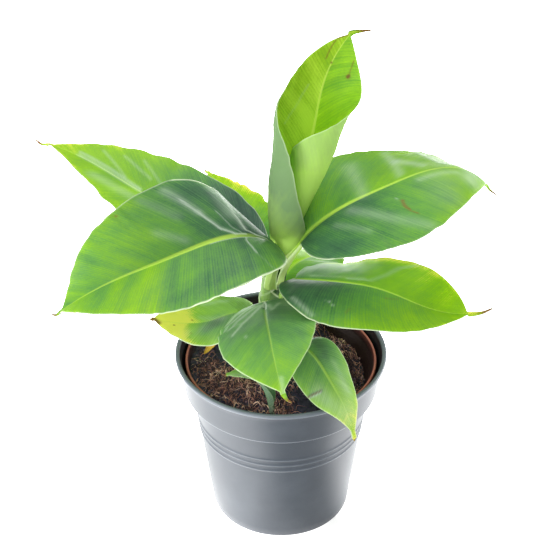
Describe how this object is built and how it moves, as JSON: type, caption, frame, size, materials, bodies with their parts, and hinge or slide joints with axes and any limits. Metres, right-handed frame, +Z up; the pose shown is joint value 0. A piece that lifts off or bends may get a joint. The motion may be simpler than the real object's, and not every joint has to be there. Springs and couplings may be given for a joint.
{
  "type": "potted banana plant",
  "caption": "Young dwarf banana plant with broad arching leaves and a rolled new leaf, standing in a ribbed grow pot filled with potting mix.",
  "frame": {"origin": "centre of the outer pot's flat underside", "axes": "+Z up along the pot's axis and the pseudostem; X across the plant's widest spread; -Y towards the front leaf and the picture's viewer"},
  "size_m": [0.3547, 0.2246, 0.4309],
  "materials": {
    "anthracite_plastic": "matt blue-grey moulded plastic",
    "terracotta_plastic": "matt terracotta-coloured thin plastic",
    "coir_potting_mix": "loose dark peat with coarse coir fibres",
    "stem_sheath": "smooth pale green leaf sheaths",
    "young_leaf": "satin light green leaf, waxy grey-green underneath",
    "leaf_green": "satin green leaf with fine parallel veins and paler margins"
  },
  "bodies": {
    "root": {"outer_pot": "anthracite_plastic", "inner_pot": "terracotta_plastic", "soil": "coir_potting_mix", "pseudostem": "stem_sheath", "leaf_1_scroll": "young_leaf", "leaf_2_right_upper": "leaf_green", "leaf_3_right_lower": "leaf_green", "leaf_4_left_front": "leaf_green", "leaf_5_left_back": "leaf_green", "leaf_6_back_left": "leaf_green", "leaf_7_back_right": "leaf_green", "leaf_8_low_left": "leaf_green", "leaf_9_front": "leaf_green", "leaf_10_front_right": "leaf_green", "sucker_leaf": "leaf_green"}
  },
  "joints": []
}
